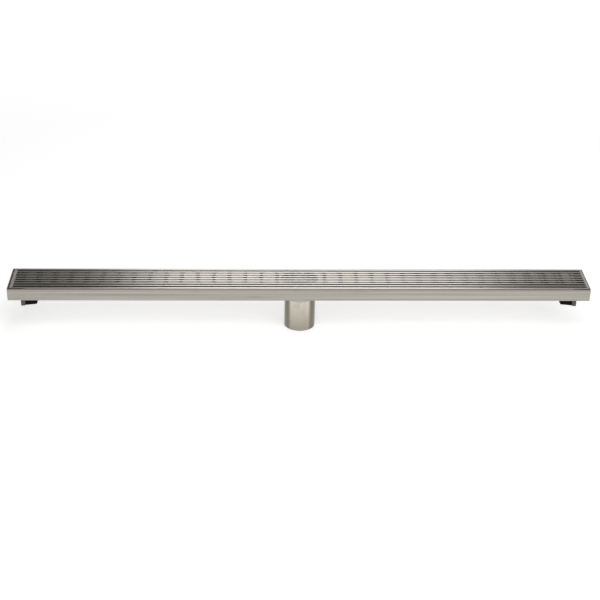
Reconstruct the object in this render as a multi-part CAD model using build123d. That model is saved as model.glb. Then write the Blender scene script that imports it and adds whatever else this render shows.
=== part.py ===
from build123d import *
import math
import os

# Linear shower drain: a stainless channel with a funnel outlet neck, a welded outlet pipe,
# a loose wedge-wire grate, a hair strainer and four padded feet. Millimetres, +X along the channel,
# +Z up, origin at the middle of the pipe's lower end.

# Channel tray
tray_length = 914.4
tray_width = 71.0
tray_depth = 20.2
tray_sheet = 1.2
fold_inside_radius = 1.0
corner_inside_radius = 0.4

# Outlet neck and pipe
outlet_drop = 60.2  # tray underside to the pipe's lower end
pipe_diameter = 49.0
pipe_wall = 1.2
pipe_rim_bevel = 0.4
neck_depth = 6.6  # tray underside to the welded seam
neck_land = 2.0  # flat ring between the funnel and the floor sheet
neck_margin_share = 0.375  # of the floor between pipe and fold, left outside the neck
seam_height = 1.6
seam_proud = 0.4

# Hair strainer
strainer_sheet = 0.8
strainer_clearance = 1.0  # between its flange and the nearer skirt
strainer_gap = 0.5
basket_gap = 2.3
basket_depth = 26.0
basket_hole_diameter = 6.0
basket_hole_count = 6
basket_hole_circle = 24.0
basket_slot_width = 3.0
basket_slot_height = 13.0
basket_slot_count = 12

# Grate frame, loose in the tray and slid to the right and to the rear
grate_proud = 0.6
gap_left = 1.8
gap_right = 0.4
gap_front = 1.5
gap_rear = 0.4
rail_width = 4.6
left_strip_width = 5.2
right_strip_width = 3.6
frame_sheet = 2.0
frame_edge_round = 0.6

# Grate wires and the support rods that cross under them
wire_count = 7
wire_width = 3.65
wire_height = 3.0
wire_foot_width = 0.9
rod_height = 4.0
rod_top_width = 1.0
rod_foot_width = 3.0
rod_pitch = 25.2
rod_end_margin = 6.0

# Feet
foot_inset_x = 20.0
foot_inset_y = 3.2
foot_taper = 5.0  # how far the front recedes towards the inner end
keeper_length = 24.0
keeper_width = 22.0
keeper_drop = 10.5
keeper_sheet = 1.5
keeper_lip = 6.5
keeper_fold_round = 1.0
pad_width = 18.0
pad_corner_round = 1.5
pad_flange_height = 4.4
pad_step = 1.6
pad_proud = 0.3
pad_edge = 0.6

# Levels and places worked out from the sizes above
floor_under = outlet_drop
floor_top = floor_under + tray_sheet
rim_level = floor_under + tray_depth
seam_level = floor_under - neck_depth
fold_outside_radius = fold_inside_radius + tray_sheet
tray_x = (-tray_length / 2, tray_length / 2)
tray_y = (-tray_width / 2, tray_width / 2)
floor_x = (tray_x[0] + fold_outside_radius, tray_x[1] - fold_outside_radius)
floor_y = (tray_y[0] + fold_outside_radius, tray_y[1] - fold_outside_radius)

pipe_radius = pipe_diameter / 2
neck_bore = pipe_radius - tray_sheet
neck_rim = floor_y[1] - neck_margin_share * (floor_y[1] - pipe_radius)
neck_mouth = neck_rim - neck_land
neck_flare = neck_mouth - pipe_radius
funnel_bend = tray_sheet * (math.sqrt(2) - 1)  # what a 45 degree bend takes from the sheet's inner face

grate_top = rim_level + grate_proud
strip_under = grate_top - frame_sheet
grate_x = (tray_x[0] + tray_sheet + gap_left, tray_x[1] - tray_sheet - gap_right)
grate_y = (tray_y[0] + tray_sheet + gap_front, tray_y[1] - tray_sheet - gap_rear)
window_x = (grate_x[0] + left_strip_width, grate_x[1] - right_strip_width)
window_y = (grate_y[0] + rail_width, grate_y[1] - rail_width)
skirt_x = (grate_x[0] + frame_sheet, grate_x[1] - frame_sheet)
skirt_y = (grate_y[0] + frame_sheet, grate_y[1] - frame_sheet)
wire_gap = (window_y[1] - window_y[0] - wire_count * wire_width) / (wire_count + 1)
wire_foot_level = grate_top - wire_height

foot_outer = tray_x[1] - foot_inset_x
foot_inner = foot_outer - keeper_length
foot_front = tray_y[0] + foot_inset_y


def block(x_span, y_span, z_span):
    low = (x_span[0], y_span[0], z_span[0])
    size = (x_span[1] - x_span[0], y_span[1] - y_span[0], z_span[1] - z_span[0])
    return Pos(*low) * Box(*size, align=(Align.MIN, Align.MIN, Align.MIN))


def turned(points):
    profile = Polyline(*points, close=True)
    return revolve(Plane.XZ * make_face(profile.edges()), Axis.Z)


def quarter_bend(start, end, middle, radius):
    half = math.sqrt(0.5)
    lean_x = math.copysign(half, start[0] + end[0] - 2 * middle[0])
    lean_y = math.copysign(half, start[1] + end[1] - 2 * middle[1])
    return ThreePointArc(start, (middle[0] + radius * lean_x, middle[1] + radius * lean_y), end)


# Mitred corners, shared by the tray's walls and the grate's frame
def mitred(bar, corner_a, corner_b):
    # Each corner is an outer and an inner point; the cutting planes run on past both of them
    plan = []
    for outer, inner in (corner_a, corner_b):
        step_x = inner[0] - outer[0]
        step_y = inner[1] - outer[1]
        plan.append([(outer[0] - step_x, outer[1] - step_y), (inner[0] + step_x, inner[1] + step_y)])
    outline = Polyline(plan[0][0], plan[1][0], plan[1][1], plan[0][1], close=True)
    wedge = extrude(make_face(outline.edges()), grate_top + tray_depth)
    return bar & wedge


def mitred_ring(bars, outer_x, outer_y, inner_x, inner_y):
    corner = {}
    for i, end in enumerate(("left", "right")):
        for j, side in enumerate(("front", "rear")):
            corner[side, end] = ((outer_x[i], outer_y[j]), (inner_x[i], inner_y[j]))
    return {
        "front": mitred(bars["front"], corner["front", "left"], corner["front", "right"]),
        "rear": mitred(bars["rear"], corner["rear", "left"], corner["rear", "right"]),
        "left": mitred(bars["left"], corner["front", "left"], corner["rear", "left"]),
        "right": mitred(bars["right"], corner["front", "right"], corner["rear", "right"]),
    }


# Channel tray: a flat floor sheet and four walls that bend up from it, closed at the corners
def pan_form(length, width, fold_radius, corner_radius, base):
    middle = base + tray_depth
    plan = Pos(0, 0, base) * extrude(RectangleRounded(length, width, corner_radius), tray_depth)
    side_folds = extrude(Plane.YZ * RectangleRounded(width, 2 * tray_depth, fold_radius), length, both=True)
    end_folds = extrude(Plane.XZ * RectangleRounded(length, 2 * tray_depth, fold_radius), width, both=True)
    return plan & Pos(0, 0, middle) * side_folds & Pos(0, 0, middle) * end_folds


def channel_tray():
    outside = pan_form(
        tray_length,
        tray_width,
        fold_outside_radius,
        corner_inside_radius + tray_sheet,
        floor_under,
    )
    inside = pan_form(
        tray_length - 2 * tray_sheet,
        tray_width - 2 * tray_sheet,
        fold_inside_radius,
        corner_inside_radius,
        floor_top,
    )
    floor = block(floor_x, floor_y, (floor_under, floor_top))
    walls = outside - inside - floor
    ring = mitred_ring(
        {side: walls for side in ("front", "rear", "left", "right")},
        tray_x,
        tray_y,
        floor_x,
        floor_y,
    )
    outlet_hole = Pos(0, 0, floor_under) * Cylinder(neck_rim, 2 * tray_depth)
    tray = {"tray_floor": floor - outlet_hole}
    tray.update({f"tray_{side}_wall": wall for side, wall in ring.items()})
    return tray


# Outlet neck: a spun funnel, let into the floor sheet
def outlet_neck():
    return turned([
        (neck_rim, floor_top),
        (neck_mouth - funnel_bend, floor_top),
        (neck_bore, floor_under - neck_flare + funnel_bend),
        (neck_bore, seam_level),
        (pipe_radius, seam_level),
        (pipe_radius, floor_under - neck_flare),
        (neck_mouth, floor_under),
        (neck_rim, floor_under),
    ])


# Outlet pipe, with its dressed weld at the top and a bevelled lower rim
def outlet_pipe():
    bore = pipe_radius - pipe_wall
    seam_radius = pipe_radius + seam_proud
    seam_foot = seam_level - seam_height
    return turned([
        (bore, 0),
        (pipe_radius - pipe_rim_bevel, 0),
        (pipe_radius, pipe_rim_bevel),
        (pipe_radius, seam_foot),
        (seam_radius, seam_foot + seam_proud),
        (seam_radius, seam_level - seam_proud),
        (pipe_radius, seam_level),
        (bore, seam_level),
    ])


# Hair strainer: a flanged basket that lies on the floor round the neck and hangs inside it
def hair_strainer():
    seat_radius = min(-skirt_y[0], skirt_y[1]) - strainer_clearance
    basket_radius = neck_bore - basket_gap
    basket_inside = basket_radius - strainer_sheet
    cone_top = neck_mouth - funnel_bend - strainer_gap * math.sqrt(2)
    cone_inside = cone_top - strainer_sheet * math.sqrt(2)
    bottom = floor_top - basket_depth
    basket = turned([
        (seat_radius, floor_top),
        (cone_top, floor_top),
        (basket_radius, floor_top - cone_top + basket_radius),
        (basket_radius, bottom),
        (0, bottom),
        (0, bottom + strainer_sheet),
        (basket_inside, bottom + strainer_sheet),
        (basket_inside, floor_top - cone_inside + basket_inside),
        (cone_inside + strainer_sheet, floor_top + strainer_sheet),
        (seat_radius, floor_top + strainer_sheet),
    ])
    cut_through = 4 * strainer_sheet
    hole = Pos(0, 0, bottom) * Cylinder(basket_hole_diameter / 2, cut_through)
    holes = [hole]
    holes += [place * hole for place in PolarLocations(basket_hole_circle / 2, basket_hole_count)]
    slot_level = bottom + strainer_sheet + basket_slot_width + basket_slot_height / 2
    slot = Pos(0, 0, slot_level) * Box(cut_through, basket_slot_width, basket_slot_height)
    slots = [place * slot for place in PolarLocations(basket_radius, basket_slot_count)]
    return basket - holes - slots


# Grate frame: flat top strips on upright skirts that stand on the floor, mitred at the corners
def strip_section(top_width):
    edge = frame_edge_round
    bend = quarter_bend((0, grate_top - edge), (edge, grate_top), (edge, grate_top - edge), edge)
    rest = Polyline(
        (edge, grate_top),
        (top_width, grate_top),
        (top_width, strip_under),
        (0, strip_under),
        (0, grate_top - edge),
    )
    return make_face([bend, rest.edges()])


def skirt_section():
    # The toe is rounded to clear the bend between the tray's floor and wall
    toe = fold_inside_radius
    bend = quarter_bend((0, floor_top + toe), (toe, floor_top), (toe, floor_top + toe), toe)
    rest = Polyline(
        (toe, floor_top),
        (frame_sheet, floor_top),
        (frame_sheet, strip_under),
        (0, strip_under),
        (0, floor_top + toe),
    )
    return make_face([bend, rest.edges()])


def frame_bars(rail_section, left_section, right_section):
    across = Plane(origin=(grate_x[0], 0, 0), x_dir=(0, 1, 0), z_dir=(1, 0, 0))
    along = Plane(origin=(0, grate_y[1], 0), x_dir=(1, 0, 0), z_dir=(0, -1, 0))
    rail = extrude(across * rail_section, grate_x[1] - grate_x[0])
    left = extrude(along * left_section, grate_y[1] - grate_y[0])
    right = extrude(along * right_section, grate_y[1] - grate_y[0])
    return {
        "front": Pos(0, grate_y[0], 0) * rail,
        "rear": Pos(0, grate_y[1], 0) * mirror(rail, about=Plane.XZ),
        "left": Pos(grate_x[0], 0, 0) * left,
        "right": Pos(grate_x[1], 0, 0) * mirror(right, about=Plane.YZ),
    }


def grate_frame():
    strip_bars = frame_bars(
        strip_section(rail_width),
        strip_section(left_strip_width),
        strip_section(right_strip_width),
    )
    skirt_bars = frame_bars(skirt_section(), skirt_section(), skirt_section())
    strips = mitred_ring(strip_bars, grate_x, grate_y, window_x, window_y)
    skirts = mitred_ring(skirt_bars, grate_x, grate_y, skirt_x, skirt_y)
    frame = {
        "front_rail": strips["front"],
        "rear_rail": strips["rear"],
        "left_end_strip": strips["left"],
        "right_end_strip": strips["right"],
    }
    frame.update({f"{side}_skirt": skirt for side, skirt in skirts.items()})
    return frame


# Grate wires: a flat top that tapers down to a narrow foot, butted between the end strips
def grate_wire(middle):
    half_top = wire_width / 2
    half_foot = wire_foot_width / 2
    outline = Polyline(
        (middle - half_top, grate_top),
        (middle - half_foot, wire_foot_level),
        (middle + half_foot, wire_foot_level),
        (middle + half_top, grate_top),
        close=True,
    )
    section = make_face(outline.edges())
    return Pos(window_x[0], 0, 0) * extrude(Plane.YZ * section, window_x[1] - window_x[0])


def grate_wires():
    first = window_y[0] + wire_gap + wire_width / 2
    pitch = wire_width + wire_gap
    return {f"grate_wire_{i + 1}": grate_wire(first + i * pitch) for i in range(wire_count)}


# Support rods: wedges with the narrow edge up, evenly spaced, welded between the two skirts
def cross_rods():
    room = window_x[1] - window_x[0] - 2 * rod_end_margin
    count = int(room // rod_pitch) + 1
    outline = Polyline(
        (-rod_top_width / 2, wire_foot_level),
        (rod_top_width / 2, wire_foot_level),
        (rod_foot_width / 2, wire_foot_level - rod_height),
        (-rod_foot_width / 2, wire_foot_level - rod_height),
        close=True,
    )
    rod = extrude(Plane.XZ * make_face(outline.edges()), skirt_y[1] - skirt_y[0])
    first = (window_x[0] + window_x[1] - (count - 1) * rod_pitch) / 2
    return Compound([Pos(first + i * rod_pitch, skirt_y[1], 0) * rod for i in range(count)])


# Feet: a folded keeper under the tray, and a black pad held in it, both narrower at the inner end
def foot_front_at(x):
    return foot_front + foot_taper * (foot_outer - x) / keeper_length


def foot_plan(x_span, front_cut, width):
    front = [foot_front_at(x) + front_cut for x in x_span]
    back = foot_front + width
    outline = Polyline(
        (x_span[0], front[0]),
        (x_span[1], front[1]),
        (x_span[1], back),
        (x_span[0], back),
        close=True,
    )
    return make_face(outline.edges())


def foot_keeper():
    low = Pos(0, 0, floor_under - keeper_drop)
    flange_low = Pos(0, 0, floor_under - keeper_sheet)
    lip_x = (foot_outer - keeper_lip, foot_outer)
    web_x = (foot_outer - keeper_sheet, foot_outer)
    flange = flange_low * extrude(foot_plan((foot_inner, foot_outer), 0, keeper_width), keeper_sheet)
    web = low * extrude(foot_plan(web_x, 0, keeper_width), keeper_drop)
    lip_plan = foot_plan(lip_x, 0, keeper_width) - foot_plan(lip_x, keeper_sheet, keeper_width)
    lip = low * extrude(lip_plan, keeper_drop)
    keeper = flange + web + lip
    upright = keeper.edges().filter_by(Axis.Z)
    corner = upright.sort_by(lambda edge: edge.center().Y - edge.center().X)[0]
    return fillet(corner, keeper_fold_round)


def pad_plan(inset):
    x_span = (foot_inner + inset, foot_outer - keeper_sheet)
    plan = foot_plan(x_span, keeper_sheet + inset, keeper_sheet + pad_width - inset)
    inner_corners = plan.vertices().group_by(Axis.X)[0]
    return fillet(inner_corners, pad_corner_round)


def foot_pad():
    low = floor_under - keeper_drop - pad_proud
    top = floor_under - keeper_sheet
    flange = Pos(0, 0, low) * extrude(pad_plan(0), pad_flange_height)
    rims = flange.edges().group_by(Axis.Z)
    flange = chamfer(rims[0] + rims[-1], pad_edge)
    body = Pos(0, 0, low) * extrude(pad_plan(pad_step), top - low)
    return flange + body


def feet():
    keeper = foot_keeper()
    pad = foot_pad()
    placed = {}
    for end in ("right", "left"):
        for side in ("front", "rear"):
            for kind, shape in (("foot_bracket", keeper), ("foot_pad", pad)):
                if end == "left":
                    shape = mirror(shape, about=Plane.YZ)
                if side == "rear":
                    shape = mirror(shape, about=Plane.XZ)
                placed[f"{kind}_{side}_{end}"] = shape
    return placed


pieces = {
    "outlet_neck": outlet_neck(),
    "outlet_pipe": outlet_pipe(),
    "hair_strainer": hair_strainer(),
    "cross_rods": cross_rods(),
}
pieces.update(channel_tray())
pieces.update(grate_frame())
pieces.update(grate_wires())
pieces.update(feet())

os.makedirs("parts", exist_ok=True)
for name, shape in pieces.items():
    export_step(shape, f"parts/{name}.step")
print(len(pieces), "pieces, slots", round(wire_gap, 3), "mm wide")
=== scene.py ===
import math

import bpy
from mathutils import Matrix, Vector


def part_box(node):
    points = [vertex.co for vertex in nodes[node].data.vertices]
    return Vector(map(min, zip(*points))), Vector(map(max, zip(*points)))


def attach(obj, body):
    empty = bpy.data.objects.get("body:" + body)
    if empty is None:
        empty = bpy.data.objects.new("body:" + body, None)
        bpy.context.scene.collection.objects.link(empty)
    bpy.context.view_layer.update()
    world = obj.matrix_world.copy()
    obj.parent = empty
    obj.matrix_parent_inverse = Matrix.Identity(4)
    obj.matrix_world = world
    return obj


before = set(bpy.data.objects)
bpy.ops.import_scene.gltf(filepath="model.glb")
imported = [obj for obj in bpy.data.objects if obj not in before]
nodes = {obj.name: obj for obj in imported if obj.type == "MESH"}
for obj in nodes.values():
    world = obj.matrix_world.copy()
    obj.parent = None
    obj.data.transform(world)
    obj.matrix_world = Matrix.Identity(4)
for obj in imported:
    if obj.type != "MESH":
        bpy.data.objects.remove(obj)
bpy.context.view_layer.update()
scene = bpy.context.scene
print("frame loaded:", len(nodes), "nodes")

# faces of the part that the finishes are measured from
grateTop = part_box("front_rail")[1].z
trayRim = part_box("tray_front_wall")[1].z
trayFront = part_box("tray_front_wall")[0].y
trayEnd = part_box("tray_right_wall")[1].x
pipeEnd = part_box("outlet_pipe")[0].z

# the rods' places along the channel, from the box of the node that holds them all
rods = dict(count=36, foot=0.003)
rodsLow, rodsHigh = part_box("cross_rods")
rodFirst = rodsLow.x + rods["foot"] / 2
rodStep = (rodsHigh.x - rodsLow.x - rods["foot"]) / (rods["count"] - 1)

white = (1.0, 1.0, 1.0)


# a socket is linked, anything else becomes the value; colours get their alpha here
def feed(tree, socket, value):
    if isinstance(value, bpy.types.NodeSocket):
        tree.links.new(value, socket)
    elif socket.type == "RGBA":
        socket.default_value = (*value, 1)
    else:
        socket.default_value = value


def fill(tree, node, inputs):
    for name, value in inputs.items():
        feed(tree, node.inputs[name], value)


def addNode(tree, kind, inputs=None, **settings):
    node = tree.nodes.new(kind)
    for name, value in settings.items():
        setattr(node, name, value)
    fill(tree, node, inputs or {})
    return node


def calculate(tree, operation, *values):
    return addNode(tree, "ShaderNodeMath", dict(enumerate(values)), operation=operation).outputs["Value"]


def mapSpan(tree, value, fromSpan, toSpan=(0.0, 1.0), clamp=True):
    spans = dict(zip(("From Min", "From Max", "To Min", "To Max"), (*fromSpan, *toSpan)))
    return addNode(tree, "ShaderNodeMapRange", {"Value": value, **spans}, clamp=clamp).outputs["Result"]


def mixTones(tree, share, first, second):
    mix = addNode(tree, "ShaderNodeMix", {"Factor": share, "A": first, "B": second}, data_type="RGBA")
    return mix.outputs["Result"]


def stretchedNoise(tree, coords, perMetre, detail, roughness):
    stretched = addNode(tree, "ShaderNodeVectorMath", {0: coords, 1: perMetre}, operation="MULTIPLY")
    sizes = {"Scale": 1.0, "Detail": detail, "Roughness": roughness}
    noise = addNode(tree, "ShaderNodeTexNoise", {"Vector": stretched.outputs["Vector"], **sizes})
    return noise.outputs["Fac"]


def newGroup(name, kind, inputs, outputs):
    tree = bpy.data.node_groups.new(name, kind)
    for label, socketType, value in inputs:
        socket = tree.interface.new_socket(label, in_out="INPUT", socket_type=socketType)
        if value is not None:
            socket.default_value = value
    for label, socketType in outputs:
        tree.interface.new_socket(label, in_out="OUTPUT", socket_type=socketType)
    return tree, tree.nodes.new("NodeGroupInput"), tree.nodes.new("NodeGroupOutput")


def placeGroup(tree, group, inputs):
    node = tree.nodes.new("ShaderNodeGroup")
    node.node_tree = group
    fill(tree, node, inputs)
    return node


def newMaterial(name):
    material = bpy.data.materials.new(name)
    material.use_nodes = True
    return material, material.node_tree


# brushing: long streaks and fine hairlines, stretched along one direction
brushMarks = dict(streakDetail=3.0, hairDetail=2.0, roughness=0.55, contrast=(0.28, 0.72))


def makeBrushing(look):
    tree, start, end = newGroup(
        "brushing",
        "ShaderNodeTree",
        [
            ("Coords", "NodeSocketVector", None),
            ("Streaks Per Metre", "NodeSocketVector", (4.0, 420.0, 420.0)),
            ("Hairs Per Metre", "NodeSocketVector", (24.0, 3200.0, 3200.0)),
        ],
        [("Streak", "NodeSocketFloat"), ("Hair", "NodeSocketFloat")],
    )
    for label, output, detail in (
        ("Streaks Per Metre", "Streak", look["streakDetail"]),
        ("Hairs Per Metre", "Hair", look["hairDetail"]),
    ):
        noise = stretchedNoise(tree, start.outputs["Coords"], start.outputs[label], detail, look["roughness"])
        feed(tree, end.inputs[output], mapSpan(tree, noise, look["contrast"]))
    return tree


# handling: cloudy stains and rubbed patches, a few centimetres across
handlingMarks = dict(detail=4.0, roughness=0.6, softEdge=0.14)


def makeHandling(look):
    tree, start, end = newGroup(
        "handling",
        "ShaderNodeTree",
        [
            ("Coords", "NodeSocketVector", None),
            ("Clouds Per Metre", "NodeSocketVector", (14.0, 60.0, 60.0)),
            ("Cover", "NodeSocketFloat", 0.5),
        ],
        [("Cloud", "NodeSocketFloat"), ("Stain", "NodeSocketFloat")],
    )
    perMetre, cover = start.outputs["Clouds Per Metre"], start.outputs["Cover"]
    cloud = stretchedNoise(tree, start.outputs["Coords"], perMetre, look["detail"], look["roughness"])
    covered = calculate(tree, "ADD", cover, look["softEdge"])
    feed(tree, end.inputs["Cloud"], cloud)
    feed(tree, end.inputs["Stain"], mapSpan(tree, cloud, (cover, covered)))
    return tree


# painted shade band: full at one level along an axis and gone at another
def makeShadeBand():
    tree, start, end = newGroup(
        "shadeBand",
        "ShaderNodeTree",
        [
            ("Coords", "NodeSocketVector", None),
            ("Axis", "NodeSocketVector", (0.0, 0.0, 1.0)),
            ("Full At", "NodeSocketFloat", 0.0),
            ("Gone At", "NodeSocketFloat", 0.01),
        ],
        [("Band", "NodeSocketFloat")],
    )
    given = start.outputs
    both = {0: given["Coords"], 1: given["Axis"]}
    level = addNode(tree, "ShaderNodeVectorMath", both, operation="DOT_PRODUCT").outputs["Value"]
    band = mapSpan(tree, level, (given["Gone At"], given["Full At"]))
    feed(tree, end.inputs["Band"], band)
    return tree


brushing = makeBrushing(brushMarks)
handling = makeHandling(handlingMarks)
shadeBand = makeShadeBand()
print("brushing, handling marks and edge band ready")


def alongChannel(tree, coords):
    return addNode(tree, "ShaderNodeSeparateXYZ", {"Vector": coords}).outputs["X"]


# painted shade on the wire flanks beside each rod, by the distance to the nearest rod
def shadeBesideRods(tree, coords, look):
    halfStep = 0.5
    steps = mapSpan(tree, alongChannel(tree, coords), (rodFirst, rodFirst + rodStep), clamp=False)
    away = calculate(tree, "PINGPONG", steps, halfStep)
    clear = mapSpan(tree, away, [reach / rodStep for reach in look["rodShadeReach"]])
    return mixTones(tree, clear, look["rodShadeTone"], look["shadeTone"])


# painted shadow of the gap at the rail's corners, darker towards both ends of the channel
def shadeCorners(tree, coords, look):
    outward = calculate(tree, "ABSOLUTE", alongChannel(tree, coords))
    inCorner = mapSpan(tree, outward, look["cornerShadeSpan"])
    return mixTones(tree, inCorner, look["shadeTone"], look["cornerShadeTone"])


# painted dark reflection, darker where a round face turns away
def paintLimbReflection(tree, colour, look):
    facing = addNode(tree, "ShaderNodeLayerWeight").outputs["Facing"]
    return mixTones(tree, mapSpan(tree, facing, look["limbReflectionSpan"]), colour, look["limbReflectionTone"])


# how much the hairlines add to the clouds in the gloss, and the full depth of a bump in metres
glossBlend = dict(hairShare=0.5, span=(0.2, 1.1))
bumpDepth = 0.0001


# every steel is the same build, with its own tones, grain direction and gloss
def makeSteel(name, look):
    material, tree = newMaterial(name)
    coords = addNode(tree, "ShaderNodeTexCoord").outputs["Object"]
    brushSizes = {"Streaks Per Metre": look["streaks"], "Hairs Per Metre": look["hairs"]}
    grain = placeGroup(tree, brushing, {"Coords": coords, **brushSizes})
    cloudSizes = {"Clouds Per Metre": look["clouds"], "Cover": look["stainCover"]}
    marks = placeGroup(tree, handling, {"Coords": coords, **cloudSizes})

    # colour: streaks between two tones, then the stains over them
    stained = calculate(tree, "MULTIPLY", marks.outputs["Stain"], look["stainStrength"])
    colour = mixTones(tree, grain.outputs["Streak"], look["darkTone"], look["lightTone"])
    colour = mixTones(tree, stained, colour, look["stainTone"])

    # gloss: the clouds make it duller, the hairlines break it up
    hairShare, cloud = glossBlend["hairShare"], marks.outputs["Cloud"]
    dulled = calculate(tree, "MULTIPLY_ADD", grain.outputs["Hair"], hairShare, cloud)
    gloss = mapSpan(tree, dulled, glossBlend["span"], look["roughness"])

    # a second tone of painted shade in a band along one edge, which is full at the span's start and gone at
    # its end
    if "shadeTone" in look:
        fullAt, goneAt = look["shadeSpan"]
        bandSizes = {"Axis": look["shadeAxis"], "Full At": fullAt, "Gone At": goneAt}
        band = placeGroup(tree, shadeBand, {"Coords": coords, **bandSizes}).outputs["Band"]
        shadeTone = look["shadeTone"]
        if "rodShadeTone" in look:
            shadeTone = shadeBesideRods(tree, coords, look)
        if "cornerShadeTone" in look:
            shadeTone = shadeCorners(tree, coords, look)
        colour = mixTones(tree, band, colour, shadeTone)
        if "edgeRoughness" in look:
            blend = {"Factor": band, "A": gloss, "B": look["edgeRoughness"]}
            gloss = addNode(tree, "ShaderNodeMix", blend, data_type="FLOAT").outputs["Result"]
    if "limbReflectionTone" in look:
        colour = paintLimbReflection(tree, colour, look)

    relief = {"Height": grain.outputs["Hair"], "Strength": look["hairDepth"], "Distance": bumpDepth}
    bump = addNode(tree, "ShaderNodeBump", relief)
    tangent = addNode(tree, "ShaderNodeTangent", direction_type="RADIAL", axis=look["grainAxis"])
    finish = {
        "Base Color": colour,
        "Metallic": 1.0,
        "Roughness": gloss,
        "Anisotropic": look["anisotropy"],
        "Tangent": tangent.outputs["Tangent"],
        "Normal": bump.outputs["Normal"],
    }
    fill(tree, tree.nodes["Principled BSDF"], finish)
    return material


# grain along the channel, across it, and up the tube
lengthwise = dict(streaks=(2.4, 620.0, 620.0), hairs=(24.0, 3200.0, 3200.0), grainAxis="X")
crosswise = dict(streaks=(420.0, 3.0, 420.0), hairs=(3200.0, 24.0, 3200.0), grainAxis="Y")
upright = dict(streaks=(300.0, 300.0, 9.0), hairs=(2600.0, 2600.0, 40.0), grainAxis="Z")

# directions that the edge bands are measured along
rearward = (0.0, 1.0, 0.0)
upward = (0.0, 0.0, 1.0)

# the tray: brushed walls with painted shade in a band along the rim, and a smoother floor with painted shade
# along the front
trayLook = dict(
    lengthwise,
    darkTone=(0.28, 0.26, 0.228),
    lightTone=(0.52, 0.493, 0.446),
    stainTone=(0.26, 0.228, 0.185),
    stainCover=0.6,
    stainStrength=0.4,
    clouds=(30.0, 110.0, 110.0),
    roughness=(0.34, 0.44),
    anisotropy=0.8,
    hairDepth=0.12,
    # painted shade: a darker band just under the rim
    shadeAxis=upward,
    shadeTone=(0.31, 0.286, 0.247),
    shadeSpan=(trayRim - 0.0002, trayRim - 0.0032),
)
trayFloorLook = dict(
    trayLook,
    darkTone=(0.6, 0.577, 0.535),
    lightTone=(0.7, 0.677, 0.635),
    roughness=(0.12, 0.18),
    anisotropy=0.4,
    hairDepth=0.03,
    # painted shade: a dark band along the front of the floor, under the rail
    shadeAxis=rearward,
    shadeTone=(0.035, 0.031, 0.027),
    shadeSpan=(trayFront + 0.0158, trayFront + 0.021),
)

# the grate: bright ground tops, painted shade on the lower edges, and skirts and rods darkened with painted
# shade
frameLook = dict(
    lengthwise,
    darkTone=(0.56, 0.536, 0.498),
    lightTone=(0.68, 0.66, 0.62),
    stainTone=(0.36, 0.33, 0.29),
    stainCover=0.66,
    stainStrength=0.25,
    clouds=(9.0, 60.0, 60.0),
    roughness=(0.33, 0.39),
    anisotropy=0.83,
    hairDepth=0.03,
)
rearRailLook = dict(
    frameLook,
    # painted shade on the rail's edge below its top
    shadeAxis=upward,
    shadeTone=(0.1, 0.095, 0.087),
    shadeSpan=(grateTop - 0.0003, grateTop - 0.00004),
)
frontRailLook = dict(
    rearRailLook,
    shadeTone=(0.36, 0.345, 0.32),
    # painted shadow of the gap at both corners
    cornerShadeTone=(0.03, 0.028, 0.025),
    cornerShadeSpan=(trayEnd - 0.0302, trayEnd - 0.0222),
)
endStripLook = dict(
    frameLook,
    **crosswise,
    darkTone=(0.33, 0.31, 0.278),
    lightTone=(0.42, 0.398, 0.362),
)
skirtLook = dict(
    frameLook,
    # painted shade: the skirts in the tray are dark copies of the frame steel
    darkTone=(0.05, 0.044, 0.037),
    lightTone=(0.08, 0.071, 0.06),
)
wireLook = dict(
    frameLook,
    darkTone=(0.56, 0.535, 0.495),
    roughness=(0.355, 0.355),
    hairDepth=0.0,
    # painted shade on the wire flanks below the top, deepest beside each rod
    shadeAxis=upward,
    shadeTone=(0.4, 0.378, 0.345),
    shadeSpan=(grateTop - 0.0004, grateTop - 0.0001),
    edgeRoughness=0.1,
    rodShadeTone=(0.038, 0.032, 0.026),
    rodShadeReach=(0.0024, 0.0038),
)
rodLook = dict(
    endStripLook,
    # painted shade: the rods under the wires are dark copies of the steel
    darkTone=(0.06, 0.052, 0.043),
    lightTone=(0.1, 0.088, 0.075),
    roughness=(0.36, 0.46),
    anisotropy=0.3,
)

# the outlet: a drawn tube with painted shade towards its lower end and painted dark reflections at its limbs,
# and a plain strainer
pipeLook = dict(
    upright,
    darkTone=(0.55, 0.512, 0.43),
    lightTone=(0.61, 0.571, 0.488),
    stainTone=(0.42, 0.375, 0.3),
    stainCover=0.52,
    stainStrength=0.4,
    clouds=(60.0, 60.0, 45.0),
    roughness=(0.15, 0.22),
    anisotropy=0.0,
    hairDepth=0.06,
    shadeAxis=upward,
    # painted shade towards the lower end of the tube
    shadeTone=(0.33, 0.3, 0.248),
    shadeSpan=(pipeEnd - 0.004, pipeEnd + 0.045),
    # painted dark reflection at the tube's limbs
    limbReflectionTone=(0.2, 0.18, 0.145),
    limbReflectionSpan=(0.27, 0.4),
)
strainerLook = dict(
    upright,
    darkTone=(0.22, 0.21, 0.195),
    lightTone=(0.3, 0.288, 0.27),
    stainTone=(0.2, 0.18, 0.15),
    stainCover=0.52,
    stainStrength=0.4,
    clouds=(60.0, 60.0, 45.0),
    roughness=(0.32, 0.44),
    anisotropy=0.0,
    hairDepth=0.06,
)

# the feet: folded sheet darkened with painted shade, round black pads
bracketLook = dict(
    crosswise,
    # painted shade: the bracket under the tray is a dark copy of the steel
    darkTone=(0.085, 0.08, 0.072),
    lightTone=(0.125, 0.118, 0.108),
    stainTone=(0.1, 0.09, 0.08),
    stainCover=0.5,
    stainStrength=0.4,
    clouds=(80.0, 80.0, 80.0),
    roughness=(0.38, 0.52),
    anisotropy=0.2,
    hairDepth=0.1,
)
padLook = dict(
    tone=(0.006, 0.006, 0.006),
    scuffTone=(0.02, 0.019, 0.018),
    scuffs=(180.0, 180.0, 180.0),
    scuffCover=0.58,
    scuffSpan=(0.3, 0.7),
    roughness=(0.5, 0.7),
    sheen=0.12,
    grain=4200.0,
    grainDetail=2.0,
    grainDepth=0.25,
)


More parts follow.
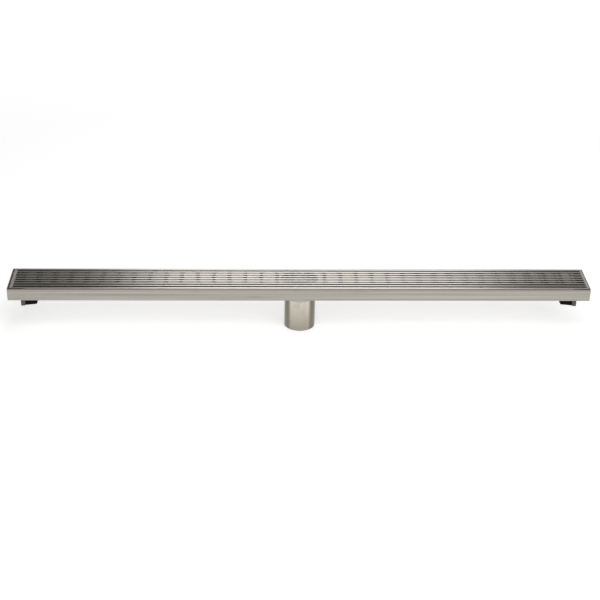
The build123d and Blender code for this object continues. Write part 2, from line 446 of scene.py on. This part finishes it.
# moulded rubber: near black, with a fine grain and paler scuffs
def makeRubber(name, look):
    material, tree = newMaterial(name)
    coords = addNode(tree, "ShaderNodeTexCoord").outputs["Object"]
    scuffSizes = {"Clouds Per Metre": look["scuffs"], "Cover": look["scuffCover"]}
    marks = placeGroup(tree, handling, {"Coords": coords, **scuffSizes})
    grainSizes = {"Scale": look["grain"], "Detail": look["grainDetail"]}
    grain = addNode(tree, "ShaderNodeTexNoise", {"Vector": coords, **grainSizes}).outputs["Fac"]
    relief = {"Height": grain, "Strength": look["grainDepth"], "Distance": bumpDepth}
    bump = addNode(tree, "ShaderNodeBump", relief)
    finish = {
        "Base Color": mixTones(tree, marks.outputs["Stain"], look["tone"], look["scuffTone"]),
        "Roughness": mapSpan(tree, marks.outputs["Cloud"], look["scuffSpan"], look["roughness"]),
        "Specular IOR Level": look["sheen"],
        "Normal": bump.outputs["Normal"],
    }
    fill(tree, tree.nodes["Principled BSDF"], finish)
    return material


wallSteel = makeSteel("traySteel", trayLook)
endWallSteel = makeSteel("trayEndSteel", dict(trayLook, **crosswise))
endStripSteel = makeSteel("frameEndSteel", endStripLook)
skirtSteel = makeSteel("skirtSteel", skirtLook)
endSkirtSteel = makeSteel("skirtEndSteel", dict(skirtLook, **crosswise))
pipeSteel = makeSteel("pipeSteel", pipeLook)

# each node takes the first finish whose key its name starts with
finishOf = {
    "tray_floor": makeSteel("floorSteel", trayFloorLook),
    "tray_front_wall": wallSteel,
    "tray_rear_wall": wallSteel,
    "tray_left_wall": endWallSteel,
    "tray_right_wall": endWallSteel,
    "outlet_neck": pipeSteel,
    "outlet_pipe": pipeSteel,
    "hair_strainer": makeSteel("strainerSteel", strainerLook),
    "cross_rods": makeSteel("rodSteel", rodLook),
    "front_rail": makeSteel("frontSteel", frontRailLook),
    "rear_rail": makeSteel("rearSteel", rearRailLook),
    "left_end_strip": endStripSteel,
    "right_end_strip": endStripSteel,
    "front_skirt": skirtSteel,
    "rear_skirt": skirtSteel,
    "left_skirt": endSkirtSteel,
    "right_skirt": endSkirtSteel,
    "grate_wire": makeSteel("wireSteel", wireLook),
    "foot_bracket": makeSteel("bracketSteel", bracketLook),
    "foot_pad": makeRubber("padRubber", padLook),
}
for name, node in nodes.items():
    family = next(key for key in finishOf if name.startswith(key))
    node.data.materials.clear()
    node.data.materials.append(finishOf[family])
print("finishes on", len(nodes), "nodes")


# turns a geometry tree into a plain mesh that rides on the part
def growPiece(name, tree, sizes):
    piece = bpy.data.objects.new(name, bpy.data.meshes.new(name))
    scene.collection.objects.link(piece)
    modifier = piece.modifiers.new("grow", "NODES")
    modifier.node_group = tree
    for item in tree.interface.items_tree:
        if item.in_out == "INPUT":
            modifier[item.identifier] = sizes[item.name]
    depsgraph = bpy.context.evaluated_depsgraph_get()
    grown = bpy.data.meshes.new_from_object(piece.evaluated_get(depsgraph), depsgraph=depsgraph)
    piece.modifiers.remove(modifier)
    piece.data = grown
    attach(piece, "root")
    print(name, "made of", len(grown.polygons), "faces")


# weld nuggets: each wire is fused to each rod it crosses, in a small flattened bead, dark with painted shade
# like the rods
nuggets = dict(
    bead=(0.005, 0.004, 0.0024),
    segments=8,
    rings=5,
    look=dict(rodLook, darkTone=(0.04, 0.036, 0.033), lightTone=(0.075, 0.066, 0.06)),
)


# a line of points across the wires, a line of points along each, and a bead on every point
def makeNuggetTree():
    tree, start, end = newGroup(
        "weldNuggets",
        "GeometryNodeTree",
        [
            ("Rods", "NodeSocketInt", 2),
            ("Rod Step", "NodeSocketVector", None),
            ("Wires", "NodeSocketInt", 2),
            ("Wire Step", "NodeSocketVector", None),
            ("First", "NodeSocketVector", None),
            ("Bead", "NodeSocketVector", None),
            ("Segments", "NodeSocketInt", 8),
            ("Rings", "NodeSocketInt", 4),
            ("Finish", "NodeSocketMaterial", None),
        ],
        [("Geometry", "NodeSocketGeometry")],
    )
    given = start.outputs
    alongSizes = {"Count": given["Rods"], "Offset": given["Rod Step"]}
    along = addNode(tree, "GeometryNodeMeshLine", alongSizes).outputs["Mesh"]
    acrossSizes = {"Count": given["Wires"], "Offset": given["Wire Step"], "Start Location": given["First"]}
    across = addNode(tree, "GeometryNodeMeshLine", acrossSizes).outputs["Mesh"]
    grid = addNode(tree, "GeometryNodeInstanceOnPoints", {"Points": across, "Instance": along})
    crossings = addNode(tree, "GeometryNodeRealizeInstances", {"Geometry": grid.outputs["Instances"]})
    # a ball of width one, so that a bead's scale is its size
    ballSizes = {"Radius": 0.5, "Segments": given["Segments"], "Rings": given["Rings"]}
    ball = addNode(tree, "GeometryNodeMeshUVSphere", ballSizes).outputs["Mesh"]
    places = {"Points": crossings.outputs["Geometry"], "Instance": ball, "Scale": given["Bead"]}
    beads = addNode(tree, "GeometryNodeInstanceOnPoints", places)
    solid = addNode(tree, "GeometryNodeRealizeInstances", {"Geometry": beads.outputs["Instances"]})
    dressing = {"Geometry": solid.outputs["Geometry"], "Material": given["Finish"]}
    dressed = addNode(tree, "GeometryNodeSetMaterial", dressing)
    feed(tree, end.inputs["Geometry"], dressed.outputs["Geometry"])
    return tree


def makeNuggets(plan):
    # the middles of the first and the last wire give the step across
    wires = sorted(name for name in nodes if name.startswith("grate_wire"))
    firstY, lastY = (sum(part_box(name), Vector()).y / 2 for name in (wires[0], wires[-1]))
    wireStep = (lastY - firstY) / (len(wires) - 1)
    sizes = {
        "Rods": rods["count"],
        "Rod Step": (rodStep, 0.0, 0.0),
        "Wires": len(wires),
        "Wire Step": (0.0, wireStep, 0.0),
        "First": (rodFirst, firstY, rodsHigh.z),
        "Bead": plan["bead"],
        "Segments": plan["segments"],
        "Rings": plan["rings"],
        "Finish": makeSteel("weldSteel", plan["look"]),
    }
    growPiece("weldNuggets", makeNuggetTree(), sizes)


makeNuggets(nuggets)


# a four-cornered sheet of the studio, kept apart from the part
def addSheet(name, corners, material):
    mesh = bpy.data.meshes.new(name)
    mesh.from_pydata(corners, [], [(0, 1, 2, 3)])
    mesh.materials.append(material)
    sheet = bpy.data.objects.new(name, mesh)
    scene.collection.objects.link(sheet)
    return sheet


# floor: pale, white where it is lit, and it keeps the shadow; the lift grows from near to far
floorLook = dict(half=40.0, colour=(0.86, 0.86, 0.86), lift=0.51, farLift=0.95, near=1.0, far=4.0)


def makeFloor(look):
    material, tree = newMaterial("floorPaper")
    tree.nodes.clear()
    coords = addNode(tree, "ShaderNodeTexCoord").outputs["Object"]
    away = addNode(tree, "ShaderNodeVectorMath", {0: coords}, operation="LENGTH").outputs["Value"]
    lift = mapSpan(tree, away, (look["near"], look["far"]), (look["lift"], look["farLift"]))
    ray = addNode(tree, "ShaderNodeLightPath").outputs
    seen = calculate(tree, "MAXIMUM", ray["Is Camera Ray"], ray["Is Glossy Ray"])
    seen = calculate(tree, "MAXIMUM", seen, ray["Is Transmission Ray"])
    strength = calculate(tree, "MULTIPLY", seen, lift)
    glow = addNode(tree, "ShaderNodeEmission", {"Color": white, "Strength": strength})
    paper = addNode(tree, "ShaderNodeBsdfDiffuse", {"Color": look["colour"]})
    both = addNode(tree, "ShaderNodeAddShader", {0: paper.outputs["BSDF"], 1: glow.outputs["Emission"]})
    addNode(tree, "ShaderNodeOutputMaterial", {"Surface": both.outputs["Shader"]})
    half = look["half"]
    addSheet("floor", [(-half, -half, 0), (half, -half, 0), (half, half, 0), (-half, half, 0)], material)


makeFloor(floorLook)

# studio: a pale low sky, dark at the zenith; a box overhead, a key in front, and behind a bright panel
# between two grey flags, which the grate's flats mirror
sky = dict(pale=1.0, dark=0.05, paleBelow=0.5, darkAbove=0.82, onMattes=0.35)
lamps = dict(
    overhead=dict(place=(0.0, 0.05, 2.0), aim=(0.0, 0.0, 0.05), size=(0.7, 1.2), watts=5.3),
    frontKey=dict(place=(0.7, -2.2, 2.8), aim=(0.1, 0.0, 0.0), size=(3.6, 2.4), watts=62.0),
    backPanel=dict(place=(0.15, 2.3, 1.5), aim=(0.1, 0.0, 0.6), size=(1.2, 1.8), watts=8.8),
)
flags = dict(
    flagLeft=dict(spanX=(-2.3, -0.53), spanZ=(0.3, 2.7), depth=2.25, grey=0.13),
    flagRight=dict(spanX=(0.82, 2.6), spanZ=(0.3, 2.7), depth=2.25, grey=0.27),
)


def makeSky(look):
    world = bpy.data.worlds.new("sky")
    world.use_nodes = True
    tree = world.node_tree
    coords = addNode(tree, "ShaderNodeTexCoord").outputs["Generated"]
    height = addNode(tree, "ShaderNodeSeparateXYZ", {"Vector": coords}).outputs["Z"]
    fade = mapSpan(tree, height, (look["paleBelow"], look["darkAbove"]), (look["pale"], look["dark"]))
    onMatte = addNode(tree, "ShaderNodeLightPath").outputs["Is Diffuse Ray"]
    share = mapSpan(tree, onMatte, (0.0, 1.0), (1.0, look["onMattes"]))
    strength = calculate(tree, "MULTIPLY", fade, share)
    fill(tree, tree.nodes["Background"], {"Color": white, "Strength": strength})
    scene.world = world


def makeFlag(name, flag):
    material, tree = newMaterial(name)
    tree.nodes.clear()
    glow = addNode(tree, "ShaderNodeEmission", {"Color": white, "Strength": flag["grey"]})
    addNode(tree, "ShaderNodeOutputMaterial", {"Surface": glow.outputs["Emission"]})
    (left, right), (low, high), depth = flag["spanX"], flag["spanZ"], flag["depth"]
    corners = [(left, depth, low), (right, depth, low), (right, depth, high), (left, depth, high)]
    addSheet(name, corners, material).visible_camera = False


def makeLamp(name, lamp):
    data = bpy.data.lights.new(name, "AREA")
    data.shape = "RECTANGLE"
    data.size, data.size_y = lamp["size"]
    data.energy = lamp["watts"]
    light = bpy.data.objects.new(name, data)
    toAim = Vector(lamp["aim"]) - Vector(lamp["place"])
    light.location = lamp["place"]
    light.rotation_euler = toAim.to_track_quat("-Z", "Y").to_euler()
    light.visible_camera = False
    scene.collection.objects.link(light)


makeSky(sky)
for name, flag in flags.items():
    makeFlag(name, flag)
for name, lamp in lamps.items():
    makeLamp(name, lamp)
print("studio lit by", len(lamps), "lamps, with", len(flags), "flags")

# camera: place in metres, angles in degrees, lens and sensor in millimetres
shot = dict(place=(-0.0806, -1.971, 1.1079), yaw=2.35, pitch=28.36, roll=1.18, lens=84.2, sensor=36.0)


def makeCamera(view):
    yaw, pitch, roll = (math.radians(view[key]) for key in ("yaw", "pitch", "roll"))
    ahead = Vector((math.sin(yaw) * math.cos(pitch), math.cos(yaw) * math.cos(pitch), -math.sin(pitch)))
    level = Vector((math.cos(yaw), -math.sin(yaw), 0))
    top = level.cross(ahead)
    right = level * math.cos(roll) + top * math.sin(roll)
    up = top * math.cos(roll) - level * math.sin(roll)
    data = bpy.data.cameras.new("shot")
    data.lens = view["lens"]
    data.sensor_width = view["sensor"]
    turn = Matrix((right, up, -ahead)).transposed().to_4x4()
    camera = bpy.data.objects.new("shot", data)
    camera.matrix_world = Matrix.Translation(view["place"]) @ turn
    scene.collection.objects.link(camera)
    scene.camera = camera


makeCamera(shot)
scene.view_settings.view_transform = "Standard"
